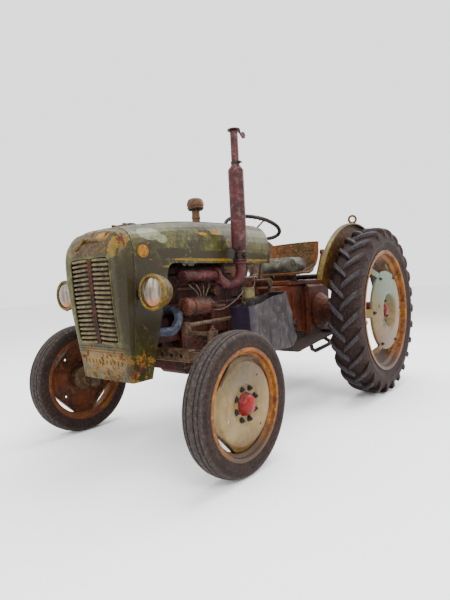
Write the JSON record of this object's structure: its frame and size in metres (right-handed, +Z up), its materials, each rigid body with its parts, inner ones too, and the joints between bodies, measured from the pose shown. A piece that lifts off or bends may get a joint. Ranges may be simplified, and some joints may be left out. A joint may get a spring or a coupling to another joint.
{
  "type": "farm tractor",
  "caption": "Small open farm tractor with a rounded hood, upright exhaust, narrow ribbed front wheels, large lugged rear wheels and a three-point lift.",
  "frame": {"origin": "on the ground, in the middle of the whole tractor's length and width", "axes": "front faces -Y, the tractor's left side is +X, +Z up"},
  "size_m": [1.487, 2.96, 1.8135],
  "materials": {
    "hood_green": "weathered olive paint",
    "cast_rust": "rusted casting",
    "dark_iron": "oily dark iron",
    "exhaust": "burnt maroon rust",
    "disc_cream": "weathered cream paint",
    "rim_orange": "rusted yellow paint",
    "rubber": "dusty worn rubber",
    "galvanised": "dull galvanised sheet",
    "slats": "grey-beige weathered paint",
    "cushion": "pale cracked vinyl",
    "hose": "grey-blue rubber hose",
    "wheel_brown": "worn dark brown plastic",
    "red_iron": "red-orange rust"
  },
  "bodies": {
    "tractor": {"hood_side_left": "hood_green", "hood_side_right": "hood_green", "nose_shell": "hood_green", "grille": "slats", "dash_and_tank": "dark_iron", "headlight_left": "rim_orange", "headlight_right": "rim_orange", "front_support": "cast_rust", "radiator": "dark_iron", "engine": "dark_iron", "generator": "dark_iron", "fuel_filter": "disc_cream", "lower_hose": "hose", "exhaust_manifold": "exhaust", "exhaust_stack": "exhaust", "air_precleaner": "cast_rust", "clutch_housing": "cast_rust", "rear_housing": "cast_rust", "lift_cover": "cast_rust", "drawbar": "cast_rust", "top_link": "dark_iron", "front_axle": "cast_rust", "radius_rod_left": "cast_rust", "radius_rod_right": "cast_rust", "steering_column": "dark_iron", "seat_pan": "hood_green", "seat_cushion": "cushion", "fender_left": "hood_green", "fender_right": "hood_green", "footboard_left": "cast_rust", "footboard_right": "cast_rust", "pedal_left": "dark_iron", "pedal_right": "dark_iron", "gear_lever": "dark_iron", "side_tub": "galvanised"},
    "front_wheel_left": {"front_tyre_left": "rubber", "front_wheel_left": "disc_cream"},
    "knuckle_left": {"knuckle_left": "red_iron"},
    "rear_wheel_left": {"rear_tyre_left": "rubber", "rear_wheel_left": "disc_cream"},
    "drop_arm_left": {"drop_arm_left": "dark_iron"},
    "drag_link_left": {"drag_link_left": "dark_iron"},
    "lift_rod_left": {"lift_rod_left": "dark_iron"},
    "lower_link_left": {"lower_link_left": "dark_iron"},
    "front_wheel_right": {"front_tyre_right": "rubber", "front_wheel_right": "disc_cream"},
    "knuckle_right": {"knuckle_right": "red_iron"},
    "rear_wheel_right": {"rear_tyre_right": "rubber", "rear_wheel_right": "disc_cream"},
    "drop_arm_right": {"drop_arm_right": "dark_iron"},
    "drag_link_right": {"drag_link_right": "dark_iron"},
    "lift_rod_right": {"lift_rod_right": "dark_iron"},
    "lower_link_right": {"lower_link_right": "dark_iron"},
    "steering_wheel": {"steering_wheel": "wheel_brown"},
    "hood_lid": {"hood_lid": "hood_green"},
    "rain_cap": {"rain_cap": "hood_green"},
    "fan": {"fan": "dark_iron"},
    "pto_shaft": {"pto_shaft": "dark_iron"},
    "lift_arms": {"lift_arms": "dark_iron"}
  },
  "joints": [
    {"name": "steer_left", "type": "hinge", "parent": "tractor", "child": "knuckle_left", "pos_m": [0.5, -1.138, 0.342], "axis": [0, 0, 1], "range_deg": [-40, 40]},
    {"name": "front_wheel_spin_left", "type": "hinge", "parent": "knuckle_left", "child": "front_wheel_left", "pos_m": [0.6405, -1.138, 0.342], "axis": [1, 0, 0], "continuous": true},
    {"name": "rear_wheel_spin_left", "type": "hinge", "parent": "tractor", "child": "rear_wheel_left", "pos_m": [0.629, 0.672, 0.635], "axis": [1, 0, 0], "continuous": true},
    {"name": "drop_arm_swing_left", "type": "hinge", "parent": "tractor", "child": "drop_arm_left", "pos_m": [0.196, -0.153, 0.895], "axis": [-1, 0, 0], "range_deg": [-34, 34]},
    {"name": "drag_link_swing_left", "type": "hinge", "parent": "drop_arm_left", "child": "drag_link_left", "pos_m": [0.2155, -0.153, 0.7], "axis": [1, 0, 0], "range_deg": [-34, 34]},
    {"name": "steer_right", "type": "hinge", "parent": "tractor", "child": "knuckle_right", "pos_m": [-0.5, -1.138, 0.342], "axis": [0, 0, 1], "range_deg": [-40, 40]},
    {"name": "front_wheel_spin_right", "type": "hinge", "parent": "knuckle_right", "child": "front_wheel_right", "pos_m": [-0.6405, -1.138, 0.342], "axis": [1, 0, 0], "continuous": true},
    {"name": "rear_wheel_spin_right", "type": "hinge", "parent": "tractor", "child": "rear_wheel_right", "pos_m": [-0.629, 0.672, 0.635], "axis": [1, 0, 0], "continuous": true},
    {"name": "drop_arm_swing_right", "type": "hinge", "parent": "tractor", "child": "drop_arm_right", "pos_m": [-0.196, -0.153, 0.895], "axis": [1, 0, 0], "range_deg": [-34, 34]},
    {"name": "drag_link_swing_right", "type": "hinge", "parent": "drop_arm_right", "child": "drag_link_right", "pos_m": [-0.2155, -0.153, 0.7], "axis": [-1, 0, 0], "range_deg": [-34, 34]},
    {"name": "steering_wheel_turn", "type": "hinge", "parent": "tractor", "child": "steering_wheel", "pos_m": [0, -0.038, 1.3], "axis": [0, 0.342, 0.9397], "range_deg": [-365, 365]},
    {"name": "hood_lid_tilt", "type": "hinge", "parent": "tractor", "child": "hood_lid", "pos_m": [0, -1.25, 1.24076], "axis": [1, 0, 0], "range_deg": [0, 65]},
    {"name": "rain_cap_flap", "type": "hinge", "parent": "tractor", "child": "rain_cap", "pos_m": [0.31, -0.578, 1.806], "axis": [-1, 0, 0], "range_deg": [0, 60]},
    {"name": "fan_spin", "type": "hinge", "parent": "tractor", "child": "fan", "pos_m": [0, -1.198, 0.8], "axis": [0, 1, 0], "continuous": true},
    {"name": "pto_spin", "type": "hinge", "parent": "tractor", "child": "pto_shaft", "pos_m": [0, 0.872, 0.5], "axis": [0, 1, 0], "continuous": true},
    {"name": "lift_arms_raise", "type": "hinge", "parent": "tractor", "child": "lift_arms", "pos_m": [0, 0.772, 0.9225], "axis": [1, 0, 0], "range_deg": [0, 40]},
    {"name": "lower_link_raise_left", "type": "hinge", "parent": "tractor", "child": "lower_link_left", "pos_m": [0.2255, 0.722, 0.45], "axis": [1, 0, 0], "range_deg": [0, 40]},
    {"name": "lift_rod_swing_left", "type": "hinge", "parent": "lift_arms", "child": "lift_rod_left", "pos_m": [0.2075, 1.1268, 0.8225], "axis": [-1, 0, 0], "range_deg": [0, 52]},
    {"name": "lower_link_raise_right", "type": "hinge", "parent": "tractor", "child": "lower_link_right", "pos_m": [-0.2255, 0.722, 0.45], "axis": [1, 0, 0], "range_deg": [0, 40]},
    {"name": "lift_rod_swing_right", "type": "hinge", "parent": "lift_arms", "child": "lift_rod_right", "pos_m": [-0.2075, 1.1268, 0.8225], "axis": [-1, 0, 0], "range_deg": [0, 52]}
  ],
  "couplings": [
    {"joint": "steer_right", "follows": "steer_left", "ratio": 1},
    {"joint": "steering_wheel_turn", "follows": "steer_left", "ratio": 9},
    {"joint": "drop_arm_swing_left", "follows": "steer_left", "ratio": 0.8462},
    {"joint": "drag_link_swing_left", "follows": "steer_left", "ratio": 0.8462},
    {"joint": "lower_link_raise_left", "follows": "lift_arms_raise", "ratio": 1},
    {"joint": "lift_rod_swing_left", "follows": "lift_arms_raise", "ratio": 1.295},
    {"joint": "drop_arm_swing_right", "follows": "steer_left", "ratio": 0.8462},
    {"joint": "drag_link_swing_right", "follows": "steer_left", "ratio": 0.8462},
    {"joint": "lower_link_raise_right", "follows": "lift_arms_raise", "ratio": 1},
    {"joint": "lift_rod_swing_right", "follows": "lift_arms_raise", "ratio": 1.295}
  ]
}
